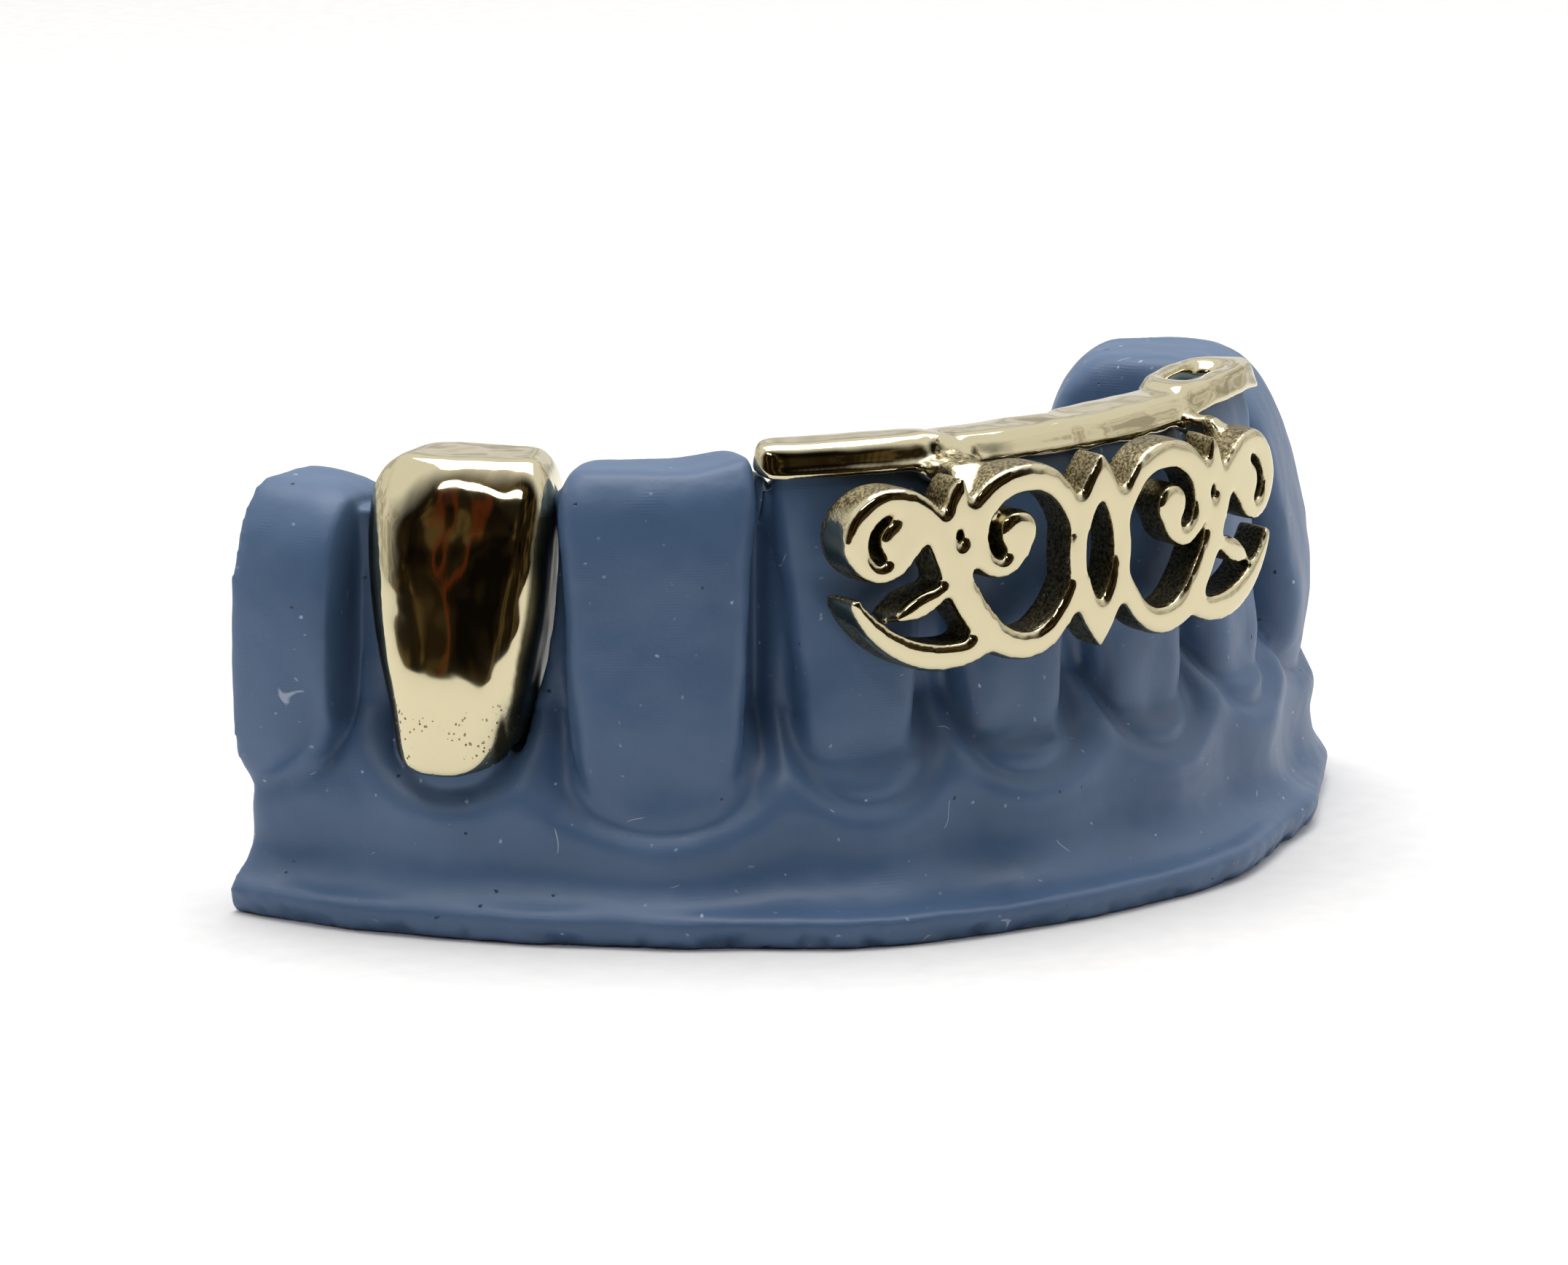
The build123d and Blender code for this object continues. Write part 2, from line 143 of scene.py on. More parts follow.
lamp_glow = add_node(
    tree, "ShaderNodeMapRange",
    {"interpolation_type": "SMOOTHSTEP", "From Min": 0.040, "From Max": 0.008, "To Max": 0.55},
    {"Value": apart.outputs["Value"]},
)
warm = add_node(
    tree, "ShaderNodeMix", {"data_type": "RGBA", 7: linear("6e3216")},
    {0: lamp_glow.outputs["Result"], 6: dark_room.outputs["Color"]},
)
mixed = add_node(
    tree, "ShaderNodeMix", {"data_type": "RGBA"},
    {0: dark_share.outputs["Result"], 6: pale_room.outputs[2], 7: warm.outputs[2]},
)
tree.links.new(mixed.outputs[2], background.inputs["Color"])
background.inputs["Strength"].default_value = 1.0

# The camera itself sees a pale sweep behind the table, white in front of it. Its grey band just above the
# horizon is painted shade, matching the far card where the lamps' light falls off
sweep_climb = add_node(
    tree, "ShaderNodeMapRange", {"From Min": -0.035, "From Max": 0.25}, {"Value": climb}
)
sweep = add_node(
    tree, "ShaderNodeValToRGB", links={"Fac": sweep_climb.outputs["Result"]},
    stops=((0.0, "ffffff"), (0.07, "cccbc9"), (0.12, "cccbc9"), (0.30, "dcdbd9"), (1.0, "f8f8f8")),
)
backdrop = add_node(tree, "ShaderNodeBackground", links={"Color": sweep.outputs["Color"]})
ray = add_node(tree, "ShaderNodeLightPath")
seen = add_node(
    tree, "ShaderNodeMixShader",
    links={0: ray.outputs["Is Camera Ray"], 1: background.outputs[0], 2: backdrop.outputs[0]},
)
tree.links.new(seen.outputs[0], tree.nodes["World Output"].inputs["Surface"])


def soft_box(name, place, aim, width, depth, watts, mirrored):
    """A rectangular studio light that faces the object, and whether polished metal shows it."""
    light = bpy.data.lights.new(name, "AREA")
    light.shape = "RECTANGLE"
    light.size = width
    light.size_y = depth
    light.energy = watts
    lamp = bpy.data.objects.new(name, light)
    bpy.context.collection.objects.link(lamp)
    lamp.location = place
    lamp.rotation_euler = (Vector(aim) - Vector(place)).to_track_quat("-Z", "Y").to_euler()
    lamp.visible_camera = False
    lamp.visible_glossy = mirrored


# name, place and aim in metres, width and depth in metres, watts, whether polished metal shows it
soft_box("overhead_box", (0.02, 0.03, 0.30), (0, 0, 0), 0.30, 0.22, 0.72, True)
soft_box("back_right_box", (0.26, 0.10, 0.16), (0, 0, 0.008), 0.24, 0.10, 0.045, False)
soft_box("window", (-0.132, -0.056, 0.168), (-0.012, 0, 0.012), 0.08, 0.020, 0.035, True)

# The camera
# A long lens at the photograph's height, a little above the teeth and well round to the capped side.
view_turn = radians(-42.3)
view_rise = radians(13.0)
view_distance = 255 * MM
bar_corner = Vector((-5.764, -4.107, 16.0)) * MM
corner_right_of_middle = 1.735 * MM
corner_above_middle = 6.458 * MM
picture_width_px = 2152
focal_px = 10582.5
back = Vector((sin(view_turn) * cos(view_rise), -cos(view_turn) * cos(view_rise), sin(view_rise)))
right = Vector((cos(view_turn), sin(view_turn), 0))
up = back.cross(right)
camera_data = bpy.data.cameras.new("camera")
camera_data.lens = camera_data.sensor_width * focal_px / picture_width_px
camera_data.clip_start = 10 * MM
camera = bpy.data.objects.new("camera", camera_data)
bpy.context.collection.objects.link(camera)
picture_middle = bar_corner - right * corner_right_of_middle - up * corner_above_middle
camera.location = picture_middle + back * view_distance
camera.rotation_euler = (-back).to_track_quat("-Z", "Y").to_euler()
bpy.context.scene.camera = camera

# The dental cast
# A copy of the wearer's lower teeth and gums, printed in one piece in blue-grey resin from a scan. Each root
# sits in a shallow groove with a rolled collar of gum below it, and the foot has the uneven edge that was
# left when the print was snapped from its base.
arch_middle = Vector((2.436, 15.693, 0))
arch_radius = 21.25
root_round = 1.8
tooth_roots = [
    # along the arch from the midline, half width, gum line
    (-27.8, 2.3, 4.3),
    (-20.8, 1.8, 4.9),
    (-14.4, 2.6, 3.8),
    (-8.2, 1.9, 4.5),
    (-2.8, 1.9, 4.8),
    (2.8, 1.9, 4.7),
    (8.2, 1.9, 4.9),
    (14.4, 2.7, 4.7),
]
root_relief_end = 28.0
root_groove_depth = 0.26
root_swelling = 0.14
gum_collar_height = 0.15
gum_top = 7.0
foot_top = 1.15
foot_edge_top = 0.8
foot_edge_cut = 0.12
foot_coarse_nick = 0.35
foot_fine_nick = 0.30
cast_waver = 0.09
cast_ripple = 0.03
cast_shrink = 0.04
canine_along = -14.45
canine_half_width = 3.4
canine_waist = 12.6
canine_top = 15.36
canine_flare = 0.13
canine_shoulder_rise = 0.42
dark_gap_along = -11.1
dark_gap_depth = 0.9
premolar_along = -27.4
premolar_edge_along = -25.0
premolar_widening = 0.75


def merged_copy(node, name):
    """The CAD node's shape as a new object with its doubles merged."""
    copy = bpy.data.objects.new(name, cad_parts[node].data.copy())
    bpy.context.collection.objects.link(copy)
    copy.data.materials.clear()
    bpy.ops.object.select_all(action="DESELECT")
    copy.select_set(True)
    bpy.context.view_layer.objects.active = copy
    bpy.ops.object.mode_set(mode="EDIT")
    bpy.ops.mesh.select_all(action="SELECT")
    bpy.ops.mesh.remove_doubles(threshold=0.002 * MM)
    bpy.ops.object.mode_set(mode="OBJECT")
    return copy


def apply_modifiers(piece):
    """Apply the piece's modifiers in order."""
    bpy.ops.object.select_all(action="DESELECT")
    piece.select_set(True)
    bpy.context.view_layer.objects.active = piece
    for modifier in list(piece.modifiers):
        bpy.ops.object.modifier_apply(modifier=modifier.name)


def regrid(piece, voxel, rounds):
    """Give the piece one even fine mesh, and rub its edges down."""
    grid = piece.modifiers.new("grid", "REMESH")
    grid.mode = "VOXEL"
    grid.voxel_size = voxel
    rub = piece.modifiers.new("rub", "SMOOTH")
    rub.factor = 0.5
    rub.iterations = rounds
    apply_modifiers(piece)


def rub_part(piece, name, weight_of, rounds):
    """Rub down the part of the piece where weight_of(place) is above zero."""
    group = piece.vertex_groups.new(name=name)
    for vertex in piece.data.vertices:
        weight = weight_of(vertex.co / MM)
        if weight > 0:
            group.add([vertex.index], min(weight, 1.0), "REPLACE")
    rub = piece.modifiers.new(name, "SMOOTH")
    rub.vertex_group = group.name
    rub.factor = 0.5
    rub.iterations = rounds
    apply_modifiers(piece)


def sculpt(piece, shift_of):
    """Move each vertex by shift_of(place, normal), all in millimetres."""
    shifts = [shift_of(vertex.co / MM, vertex.normal) for vertex in piece.data.vertices]
    for vertex, shift in zip(piece.data.vertices, shifts):
        vertex.co += shift * MM


def fade(value, nothing, full):
    """How far the value has gone from nothing to full, from 0 to 1."""
    return min(max((value - nothing) / (full - nothing), 0.0), 1.0)


def cast_shift(place, normal):
    """Slow unevenness, the relief round each root, two teeth made broader, and the foot's nicked edge."""
    out = Vector((place.x - arch_middle.x, place.y - arch_middle.y, 0)).normalized()
    along = arch_radius * atan2(out.x, -out.y)
    lift = cast_waver * noise.noise(place * 0.33) + cast_ripple * noise.noise(place * 1.2) - cast_shrink
    low = fade(place.z, gum_top + 2.0, gum_top) * fade(place.z, foot_top + 0.3, foot_top + 1.1)
    low *= fade(abs(along), root_relief_end, root_relief_end - 2.0)
    facing = fade(out.dot(normal), 0.0, 0.5)
    for middle, half_width, gum_line in tooth_roots:
        aside = abs(along - middle)
        if aside < half_width + 3.0 and low * facing > 0:
            below = max(gum_line + root_round - place.z, 0.0)
            off = (hypot(aside / half_width, below / root_round) - 1.0) * root_round
            groove = -root_groove_depth * exp(-((off - 0.15) / 0.36) ** 2)
            collar = gum_collar_height * exp(-((off - 1.10) / 0.60) ** 2)
            root = root_swelling * exp(-((off + 0.75) / 0.65) ** 2)
            lift += (groove + collar + root) * low * facing
    shift = normal * lift * fade(place.z, 0.0, 0.4)
    run = Vector((-out.y, out.x, 0))
    from_canine = along - canine_along
    if abs(from_canine) < canine_half_width:
        shift += run * from_canine * canine_flare * fade(place.z, canine_waist, canine_top)
    shoulder = fade(from_canine, 0.0, 2.6) * fade(along, dark_gap_along + 0.35, dark_gap_along - 0.15)
    shift.z += canine_shoulder_rise * shoulder ** 2 * fade(place.z, 13.7, 14.5)
    wider = fade(along, premolar_along, premolar_edge_along)
    wider *= fade(along, premolar_edge_along + 1.05, premolar_edge_along)
    shift += run * premolar_widening * wider * fade(place.z, 4.5, 6.5)
    cleft = exp(-((along - dark_gap_along) / 0.32) ** 2) * fade(place.z, 14.2, 13.2)
    shift -= out * dark_gap_depth * cleft * facing * fade(place.z, 5.0, 6.5)
    edge = fade(place.z, foot_edge_top, foot_edge_top - 0.5) * facing
    if edge > 0:
        coarse_nick = foot_coarse_nick * max(noise.noise(place * 0.6), 0.0)
        fine_nick = foot_fine_nick * max(noise.noise(place * 1.7), 0.0)
        shift -= out * edge * (foot_edge_cut + coarse_nick + fine_nick)
    return shift


cast = merged_copy("dental_cast", "printed_cast")
regrid(cast, 0.2 * MM, 7)
rub_part(cast, "gum", lambda place: min(place.z - 1.5, 5.4 - place.z), 45)
sculpt(cast, cast_shift)
bpy.ops.object.shade_smooth()

# Printed dental resin: a satin plastic, so a soft sheen without sharp reflections, with print layers 0.1 mm
# high that show faintly here and there. Handling has left hairline scratches and specks of plaster dust,
# drawn 0.05 to 0.1 mm wide so that they show, and the print has a few pinholes.
resin, tree, shader = new_material("printed_dental_resin")
spot = add_node(tree, "ShaderNodeTexCoord").outputs["Object"]
cloud = add_node(tree, "ShaderNodeTexNoise", {"Scale": 260.0, "Detail": 4.0}, {"Vector": spot})
tint = add_node(
    tree, "ShaderNodeValToRGB", links={"Fac": cloud.outputs["Fac"]},
    stops=((0.3, "466082"), (0.7, "516b8d")),
)
warp = add_node(tree, "ShaderNodeTexNoise", {"Scale": 2600.0, "Detail": 2.0}, {"Vector": spot})
torn = add_node(
    tree, "ShaderNodeVectorMath", {"operation": "MULTIPLY_ADD", 1: (0.0003, 0.0003, 0.0003)},
    {0: warp.outputs["Color"], 2: spot},
)
specks = add_node(tree, "ShaderNodeTexVoronoi", {"Scale": 1900.0}, {"Vector": torn.outputs["Vector"]})
speck_size = add_node(
    tree, "ShaderNodeMapRange", {"From Min": 0.15, "From Max": 0.05},
    {"Value": specks.outputs["Distance"]},
)
pick = add_node(tree, "ShaderNodeSeparateColor", links={0: specks.outputs["Color"]})
pale_pick = add_node(
    tree, "ShaderNodeMapRange", {"From Min": 0.66, "From Max": 1.0}, {"Value": pick.outputs["Red"]}
)
pale = add_node(
    tree, "ShaderNodeMath", {"operation": "MULTIPLY"},
    {0: speck_size.outputs["Result"], 1: pale_pick.outputs["Result"]},
)
dark_pick = add_node(
    tree, "ShaderNodeMath", {"operation": "GREATER_THAN", 1: 0.95}, {0: pick.outputs["Green"]}
)
pinhole = add_node(
    tree, "ShaderNodeMath", {"operation": "MULTIPLY"},
    {0: speck_size.outputs["Result"], 1: dark_pick.outputs["Value"]},
)
swirl = add_node(tree, "ShaderNodeTexNoise", {"Scale": 420.0, "Detail": 1.0}, {"Vector": spot})
from_line = add_node(tree, "ShaderNodeMath", {"operation": "SUBTRACT", 1: 0.5}, {0: swirl.outputs["Fac"]})
line_gap = add_node(tree, "ShaderNodeMath", {"operation": "ABSOLUTE"}, {0: from_line.outputs["Value"]})
hairline = add_node(
    tree, "ShaderNodeMapRange", {"From Min": 0.006, "From Max": 0.002, "To Max": 0.7},
    {"Value": line_gap.outputs["Value"]},
)
handled = add_node(tree, "ShaderNodeTexNoise", {"Scale": 700.0, "Detail": 2.0}, {"Vector": spot})
handled_edge = add_node(
    tree, "ShaderNodeMapRange", {"From Min": 0.655, "From Max": 0.69}, {"Value": handled.outputs["Fac"]}
)
scratch = add_node(
    tree, "ShaderNodeMath", {"operation": "MULTIPLY"},
    {0: hairline.outputs["Result"], 1: handled_edge.outputs["Result"]},
)
dust = add_node(
    tree, "ShaderNodeMath", {"operation": "MAXIMUM"},
    {0: pale.outputs["Value"], 1: scratch.outputs["Value"]},
)
dusted = add_node(
    tree, "ShaderNodeMix", {"data_type": "RGBA", 7: linear("b3c0d4")},
    {0: dust.outputs["Value"], 6: tint.outputs["Color"]},
)
# The pinholes are painted near-black, as painted shade inside the holes
pinholes_painted_dark = add_node(
    tree, "ShaderNodeMix", {"data_type": "RGBA", 7: linear("161d2a")},
    {0: pinhole.outputs["Value"], 6: dusted.outputs[2]},
)
tree.links.new(pinholes_painted_dark.outputs[2], shader.inputs["Base Color"])
sheen = add_node(
    tree, "ShaderNodeMapRange", {"To Min": 0.36, "To Max": 0.52}, {"Value": cloud.outputs["Fac"]}
)
tree.links.new(sheen.outputs["Result"], shader.inputs["Roughness"])
grain = add_node(tree, "ShaderNodeTexNoise", {"Scale": 5200.0, "Detail": 3.0}, {"Vector": spot})
grain_relief = add_node(
    tree, "ShaderNodeBump", {"Strength": 0.3, "Distance": 0.02 * MM}, {"Height": grain.outputs["Fac"]}
)
dents = add_node(tree, "ShaderNodeTexNoise", {"Scale": 700.0, "Detail": 3.0}, {"Vector": spot})
dent_relief = add_node(
    tree, "ShaderNodeBump", {"Strength": 0.3, "Distance": 0.12 * MM},
    {"Height": dents.outputs["Fac"], "Normal": grain_relief.outputs["Normal"]},
)
layers = add_node(
    tree, "ShaderNodeTexWave",
    {"bands_direction": "Z", "Scale": 3140.0, "Distortion": 1.0, "Detail": 0.0}, {"Vector": spot},
)
layer_patch = add_node(
    tree, "ShaderNodeMapRange", {"From Min": 0.50, "From Max": 0.65}, {"Value": dents.outputs["Fac"]}
)
layer_height = add_node(
    tree, "ShaderNodeMath", {"operation": "MULTIPLY"},
    {0: layers.outputs["Fac"], 1: layer_patch.outputs["Result"]},
)
layer_relief = add_node(
    tree, "ShaderNodeBump", {"Strength": 0.25, "Distance": 0.01 * MM},
    {"Height": layer_height.outputs["Value"], "Normal": dent_relief.outputs["Normal"]},
)
hole_relief = add_node(
    tree, "ShaderNodeBump", {"Strength": 0.8, "Distance": 0.08 * MM, "invert": True},
    {"Height": pinhole.outputs["Value"], "Normal": layer_relief.outputs["Normal"]},
)
tree.links.new(hole_relief.outputs["Normal"], shader.inputs["Normal"])
cast.data.materials.append(resin)
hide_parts("dental_cast")
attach(cast, "root")

# The single cap
# A thin gold shell cast to fit over one tooth and mirror-polished outside by hand, so its face is never
# quite even and its reflections waver.
cap_out = Vector((-0.83, -0.56, 0))
cap_along = Vector((0.56, -0.83, 0))
cap_middle = Vector((-15.2, 3.9, 0))
cap_foot_half = 1.7
cap_fullness = 0.16
cap_back_turn = 0.08
cap_foot_rise = 0.35
cap_waver = 0.05
cap_ripple = 0.012


def cap_shift(place, normal):
    """Fuller low down, turned away at its back edge, its foot rounded, and its face a little uneven."""
    low = fade(place.z, 11.4, 7.8)
    fuller = cap_fullness * (0.5 - 0.5 * cos(pi * low)) * max(normal.dot(cap_out), 0.0)
    uneven = cap_waver * noise.noise(Vector((place.x * 0.7, place.y * 0.7, place.z * 0.45)))
    uneven += cap_ripple * noise.noise(Vector((place.x * 1.7, place.y * 1.7, place.z * 0.8 + 5.0)))
    forward = (place - cap_middle).dot(cap_along)
    outer_part = fade((place - cap_middle).dot(cap_out), 0.8, 1.6)
    fuller -= cap_back_turn * max(-forward - 0.4, 0.0) ** 2 * outer_part
    foot = min(fade(place.z, 8.0, 5.6) * max(normal.dot(cap_out) + 0.3, 0.0), 1.0)
    rise = cap_foot_rise * min(abs(forward) / cap_foot_half, 1.3) ** 4 * foot
    return cap_out * fuller + normal * uneven + Vector((0, 0, rise))


cap = merged_copy("tooth_cap", "gold_cap")
regrid(cap, 0.08 * MM, 60)
sculpt(cap, cap_shift)
bpy.ops.object.shade_smooth()

# Ten carat gold in three finishes. Mirror-polished it is pale yellow, with slow waves from the buffing
# wheel, fine scratches, and casting pits about 0.05 mm wide that the polish has opened low on the cap.
gold, tree, shader = new_material("ten_carat_gold")
spot = add_node(tree, "ShaderNodeTexCoord").outputs["Object"]
height = add_node(tree, "ShaderNodeSeparateXYZ", links={"Vector": spot}).outputs["Z"]
pits = add_node(tree, "ShaderNodeTexVoronoi", {"Scale": 5500.0}, {"Vector": spot})
pit_size = add_node(
    tree, "ShaderNodeMapRange", {"From Min": 0.26, "From Max": 0.12, "To Max": 0.8},
    {"Value": pits.outputs["Distance"]},
)
pit_patch = add_node(tree, "ShaderNodeTexNoise", {"Scale": 800.0, "Detail": 1.0}, {"Vector": spot})
pit_edge = add_node(
    tree, "ShaderNodeMapRange", {"From Min": 0.50, "From Max": 0.58}, {"Value": pit_patch.outputs["Fac"]}
)
pit_low = add_node(
    tree, "ShaderNodeMapRange", {"From Min": 8.2 * MM, "From Max": 7.2 * MM}, {"Value": height}
)
pit_place = add_node(
    tree, "ShaderNodeMath", {"operation": "MULTIPLY"},
    {0: pit_edge.outputs["Result"], 1: pit_low.outputs["Result"]},
)
pit = add_node(
    tree, "ShaderNodeMath", {"operation": "MULTIPLY"},
    {0: pit_size.outputs["Result"], 1: pit_place.outputs["Value"]},
)
# The casting pits are painted a darker, duller gold, as painted shade inside them
polished_colour = add_node(
    tree, "ShaderNodeMix", {"data_type": "RGBA", 6: linear("d0c6a4"), 7: linear("8d7a4e")},
    {0: pit.outputs["Value"]},
)
smears = add_node(tree, "ShaderNodeTexNoise", {"Scale": 900.0, "Detail": 4.0}, {"Vector": spot})
polished_haze = add_node(
    tree, "ShaderNodeMapRange", {"To Min": 0.02, "To Max": 0.11}, {"Value": smears.outputs["Fac"]}
)
tall = add_node(tree, "ShaderNodeMapping", {"Scale": (1.0, 1.0, 0.45)}, {"Vector": spot})
waves = add_node(
    tree, "ShaderNodeTexNoise", {"Scale": 560.0, "Detail": 1.0}, {"Vector": tall.outputs["Vector"]}
)
wave_relief = add_node(
    tree, "ShaderNodeBump", {"Strength": 0.4, "Distance": 0.12 * MM}, {"Height": waves.outputs["Fac"]}
)
strokes = add_node(tree, "ShaderNodeMapping", {"Scale": (1.0, 1.0, 0.06)}, {"Vector": spot})
scratches = add_node(
    tree, "ShaderNodeTexNoise", {"Scale": 9000.0, "Detail": 2.0}, {"Vector": strokes.outputs["Vector"]}
)
scratch_relief = add_node(
    tree, "ShaderNodeBump", {"Strength": 0.06, "Distance": 0.01 * MM},
    {"Height": scratches.outputs["Fac"], "Normal": wave_relief.outputs["Normal"]},
)
pit_relief = add_node(
    tree, "ShaderNodeBump", {"Strength": 0.9, "Distance": 0.04 * MM, "invert": True},
    {"Height": pit.outputs["Value"], "Normal": scratch_relief.outputs["Normal"]},
)

# Where it is only stoned smooth it is satin, and the walls of the cap that face its neighbours are painted
# dark olive, as painted shade from the narrow gaps beside them
stoned_and_shaded = add_node(tree, "ShaderNodeAttribute", {"attribute_name": "stoned_and_shaded"}).outputs[2]
wall_shade_noise = add_node(tree, "ShaderNodeTexNoise", {"Scale": 700.0, "Detail": 3.0}, {"Vector": spot})
# Painted shade: a dark olive colour for the walls that face the neighbouring teeth
painted_wall_shade = add_node(
    tree, "ShaderNodeValToRGB", links={"Fac": wall_shade_noise.outputs["Fac"]},
    stops=((0.3, "3b3728"), (0.7, "565039")),
)
shaded_wall_colour = add_node(
    tree, "ShaderNodeMix", {"data_type": "RGBA"},
    {0: stoned_and_shaded, 6: polished_colour.outputs[2], 7: painted_wall_shade.outputs["Color"]},
)
stoned_haze = add_node(
    tree, "ShaderNodeMix", {"data_type": "FLOAT", 3: 0.34}, {0: stoned_and_shaded, 2: polished_haze.outputs["Result"]}
)

# Where it is left as cast it is dull and dark, with the sandy grain of the investment, about 0.1 mm
as_cast = add_node(tree, "ShaderNodeAttribute", {"attribute_name": "as_cast"}).outputs[2]
sand = add_node(tree, "ShaderNodeTexNoise", {"Scale": 9000.0, "Detail": 2.0}, {"Vector": spot})
sand_colour = add_node(
    tree, "ShaderNodeValToRGB", links={"Fac": sand.outputs["Fac"]},
    stops=((0.35, "453d2c"), (0.65, "968a68")),
)
gold_colour = add_node(
    tree, "ShaderNodeMix", {"data_type": "RGBA"},
    {0: as_cast, 6: shaded_wall_colour.outputs[2], 7: sand_colour.outputs["Color"]},
)
gold_haze = add_node(
    tree, "ShaderNodeMix", {"data_type": "FLOAT", 3: 0.42}, {0: as_cast, 2: stoned_haze.outputs[0]}
)
sand_strength = add_node(tree, "ShaderNodeMath", {"operation": "MULTIPLY", 1: 0.8}, {0: as_cast})
sand_relief = add_node(
    tree, "ShaderNodeBump", {"Distance": 0.05 * MM},
    {
        "Strength": sand_strength.outputs[0],
        "Height": sand.outputs["Fac"],
        "Normal": pit_relief.outputs["Normal"],
    },
)
shader.inputs["Metallic"].default_value = 1.0
tree.links.new(gold_colour.outputs[2], shader.inputs["Base Color"])
tree.links.new(gold_haze.outputs[0], shader.inputs["Roughness"])
tree.links.new(sand_relief.outputs["Normal"], shader.inputs["Normal"])


def mark_finish(piece, name, share_of):
    """Write on each vertex how far it has the named finish, from 0 to 1, for the gold to read."""
    piece.data.update()
    marks = piece.data.attributes.new(name, "FLOAT", "POINT")
    shares = [share_of(vertex.co / MM, vertex.normal.copy()) for vertex in piece.data.vertices]
    marks.data.foreach_set("value", shares)


def stoned_and_shaded_share(place, normal):
    """The walls of the cap that face its neighbours, below its biting edge: stoned satin, and painted dark
    as painted shade.
    """
    return min(fade(abs(normal.dot(cap_along)), 0.68, 0.78), fade(place.z, 14.3, 13.9))


mark_finish(cap, "stoned_and_shaded", stoned_and_shaded_share)
cap.data.materials.append(gold)
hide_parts("tooth_cap")
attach(cap, "root")

# The bar and its plate
# Four shallow caps cast in one and rounded like thick wire, with a pierced plate hung in front from two
# soldered posts. Only what shows is polished: the walls of the piercings keep the mould's grit.
plate_axis = Vector((2.436, 13.993, 0))
plate_inner_radius = 22.5
plate_top = 15.55
plate_waver = 0.015
solder_joint = Vector((-3.03, -6.55, 15.3))
solder_grit = 0.07
bar_radius = 21.82
bar_front = 23.2
bar_half_depth = 1.45
bar_bottom = 15.0
bar_middle_height = 15.6
bar_half_height = 0.62
bar_crest = 16.22
bar_waver = 0.04
bar_nose = 0.70
bar_nose_drop = 0.80
bar_lean = 0.09
bar_undercut = 0.20
bar_sag = 0.14
bar_end = 11.45
bar_end_round = 0.95
bar_end_reach = 0.34
bar_end_pull = 0.45
window_middle = Vector((10.61, -4.49, 15.78))
window_half_width = 1.0
window_rim_radius = 0.30
window_stretch = 2.05

bar = merged_copy("bar_grill", "gold_bar_and_plate")

# The open cap at the far end has a raised rim round its window
bpy.ops.object.select_all(action="DESELECT")
bpy.ops.mesh.primitive_torus_add(
    major_segments=40, minor_segments=12, major_radius=window_half_width * MM,
    minor_radius=window_rim_radius * MM, location=window_middle * MM,
    rotation=(radians(-8), 0, radians(22)),
)
window_rim = bpy.context.object
bpy.ops.object.mode_set(mode="EDIT")
bpy.ops.mesh.select_all(action="SELECT")
bpy.ops.transform.resize(
    value=(window_stretch, 1.0, 1.0), orient_type="LOCAL", center_override=window_middle * MM,
)
bpy.ops.object.mode_set(mode="OBJECT")

# Solder lumps where the near post meets the bar
lumps = [
    # aside, out, down, radius
    (-0.75, 0.35, 0.15, 0.50),
    (0.60, 0.40, 0.10, 0.46),
    (0.00, 0.75, 0.50, 0.58),
    (-0.15, 0.20, 0.00, 0.62),
]
joint_run = Vector((0.97, -0.24, 0))
joint_out = Vector((-0.24, -0.97, 0))
parts = [window_rim]
for aside, out, down, radius in lumps:
    bpy.ops.object.select_all(action="DESELECT")
    place = solder_joint + joint_run * aside + joint_out * out - Vector((0, 0, down))
    bpy.ops.mesh.primitive_ico_sphere_add(subdivisions=3, radius=radius * MM, location=place * MM)
    parts.append(bpy.context.object)
bpy.ops.object.select_all(action="DESELECT")
for part in parts:
    part.select_set(True)
bar.select_set(True)
bpy.context.view_layer.objects.active = bar
bpy.ops.object.join()
regrid(bar, 0.087 * MM, 21)


def on_plate(place):
    """Whether a place in millimetres is on the pierced plate."""
    out = hypot(place.x - plate_axis.x, place.y - plate_axis.y)
    return out > plate_inner_radius - 0.15 and place.z < plate_top


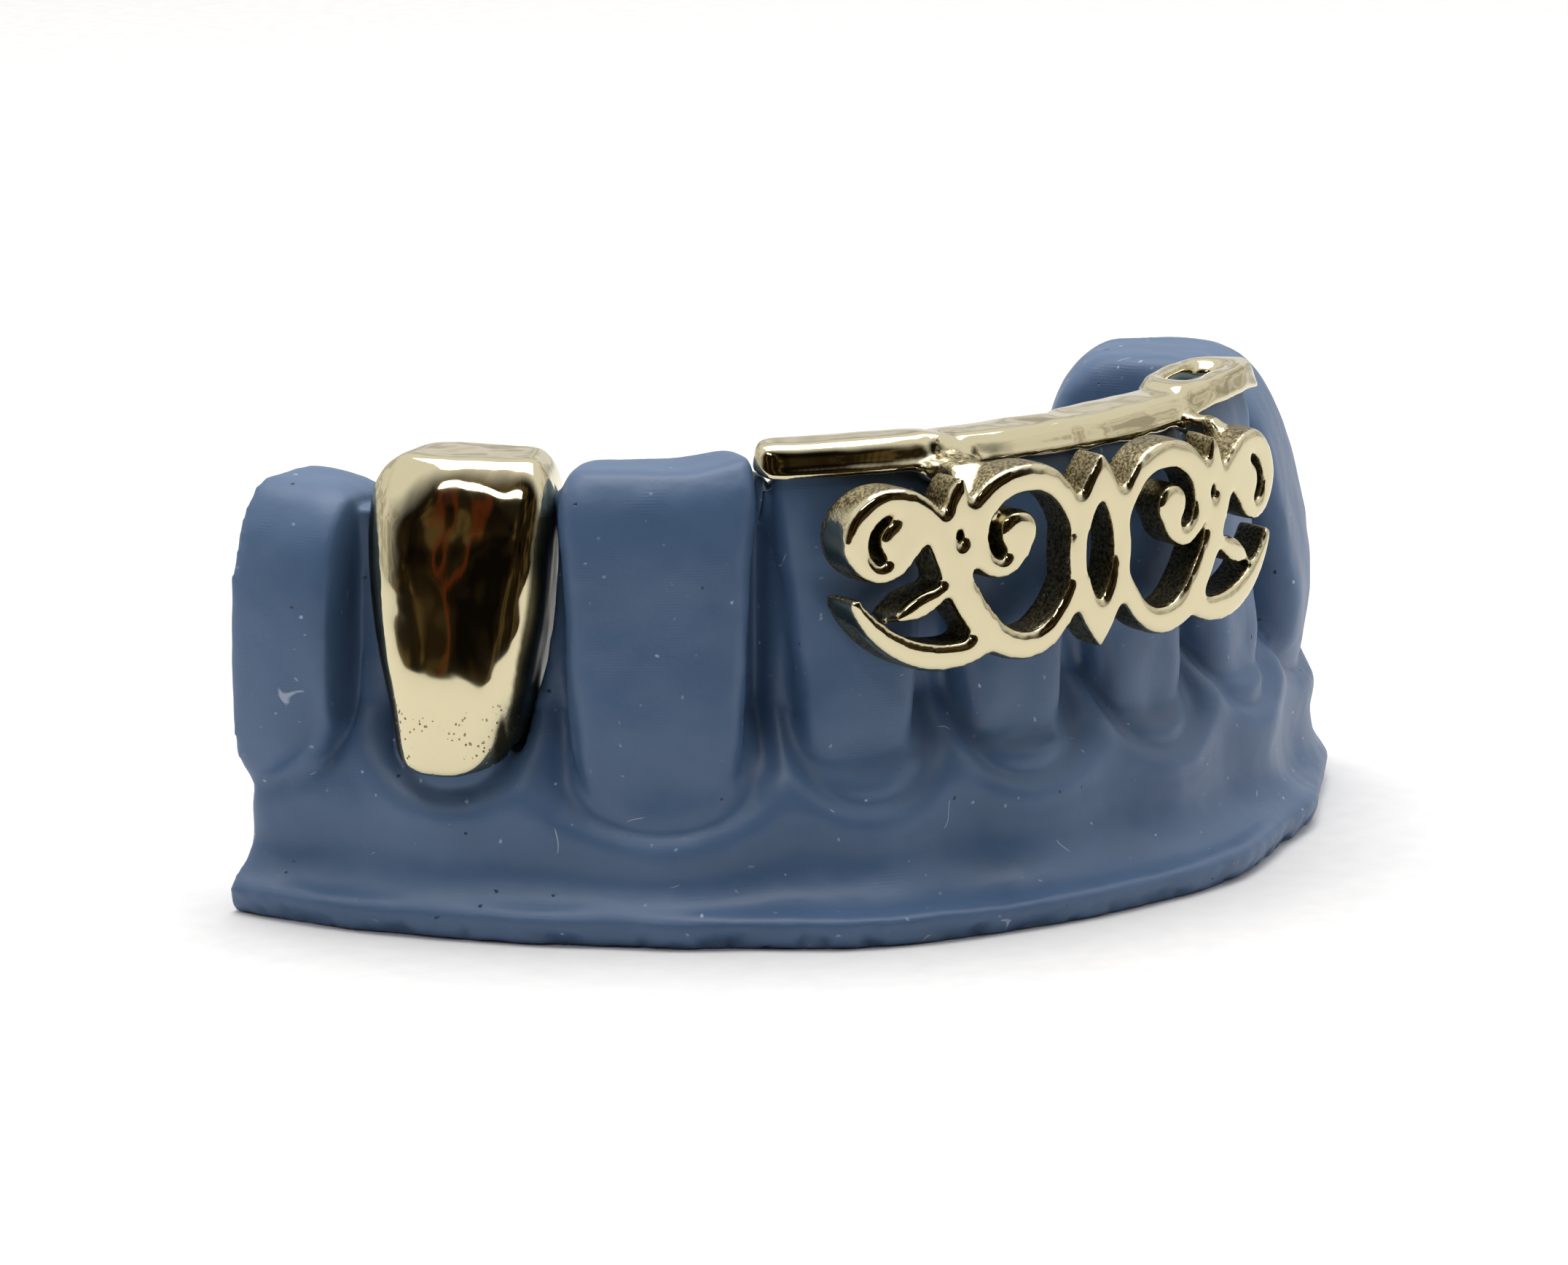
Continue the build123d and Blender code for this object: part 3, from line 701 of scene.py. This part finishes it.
def bar_shift(place, normal):
    """The bar and its ends made round, its lower edge and faces uneven, and grit at the solder joint."""
    waver = plate_waver if on_plate(place) else bar_waver
    grit = solder_grit * fade((place - solder_joint).length, 1.6, 0.6)
    shift = normal * (waver * noise.noise(place * 0.8) + grit * noise.noise(place * 3.4))
    if place.z <= 14.6:
        return shift
    out = Vector((place.x - arch_middle.x, place.y - arch_middle.y, 0))
    outwards = out.normalized()
    aside = (out.length - bar_radius) / bar_half_depth
    rise = (place.z - bar_middle_height) / bar_half_height
    from_window = hypot(place.x - window_middle.x, place.y - window_middle.y)
    share = fade(abs(aside), 1.7, 1.3) * fade(from_window, 2.0, 3.2)
    if aside > 0:
        nose = min(fade(out.length, bar_front - bar_nose, bar_front), 0.95)
        lifted = fade(place.z, bar_bottom, bar_bottom + 2 * bar_half_height)
        under = fade(lifted, 0.4, 0.0) ** 2
        shift.z -= bar_nose_drop * lifted * share * (1.0 - (1.0 - nose * nose) ** 0.5)
        shift -= outwards * nose * share * (bar_lean * lifted + bar_undercut * under)
    else:
        roundness = 0.62 if rise > 0 else 0.15
        narrow = (1.0 - roundness * min(rise * rise, 1.2)) ** 0.5 - 1.0
        sink = (1.0 - roundness * min(aside * aside, 1.2)) ** 0.5 - 1.0
        shift += outwards * aside * narrow * share * bar_half_depth
        shift.z += rise * sink * share * bar_half_height
    lower_edge = fade(place.z, bar_bottom + 0.35, bar_bottom) * share
    shift.z -= lower_edge * bar_sag * (1.0 + noise.noise(place * 1.3))
    along = arch_radius * atan2(out.x, -out.y)
    end = fade(abs(along), bar_end - bar_end_round, bar_end)
    if along < 0:
        shift -= Vector((-outwards.y, outwards.x, 0)) * bar_end_reach * end
    from_core = outwards * (out.length - bar_radius) + Vector((0, 0, place.z - bar_middle_height))
    shift -= bar_end_pull * end ** 4 * from_core
    shift.z = min(shift.z, bar_crest - place.z)
    return shift


rub_part(bar, "bar_edges", lambda place: 0.0 if on_plate(place) else 1.0, 14)
rub_part(bar, "plate_edges", lambda place: 1.0 if on_plate(place) else 0.0, 26)
sculpt(bar, bar_shift)
rub_part(bar, "bar_polish", lambda place: 0.0 if on_plate(place) else 1.0, 11)
bpy.ops.object.shade_smooth()


def as_cast_share(place, normal):
    """The walls of the plate's piercings, its back, and ragged patches of the solder joint."""
    out = Vector((place.x - plate_axis.x, place.y - plate_axis.y, 0)).normalized()
    wall = fade(normal.dot(out), 0.38, 0.28) if on_plate(place) else 0.0
    reach = 1.0 + min(max(2.0 * noise.noise(place * 2.2), -0.1), 0.35)
    from_joint = (place - solder_joint + Vector((0, 0, 0.5))).length
    return max(wall, fade(from_joint, reach, reach - 0.15))


mark_finish(bar, "as_cast", as_cast_share)
bar.data.materials.append(gold)
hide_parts("bar_grill")
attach(bar, "root")
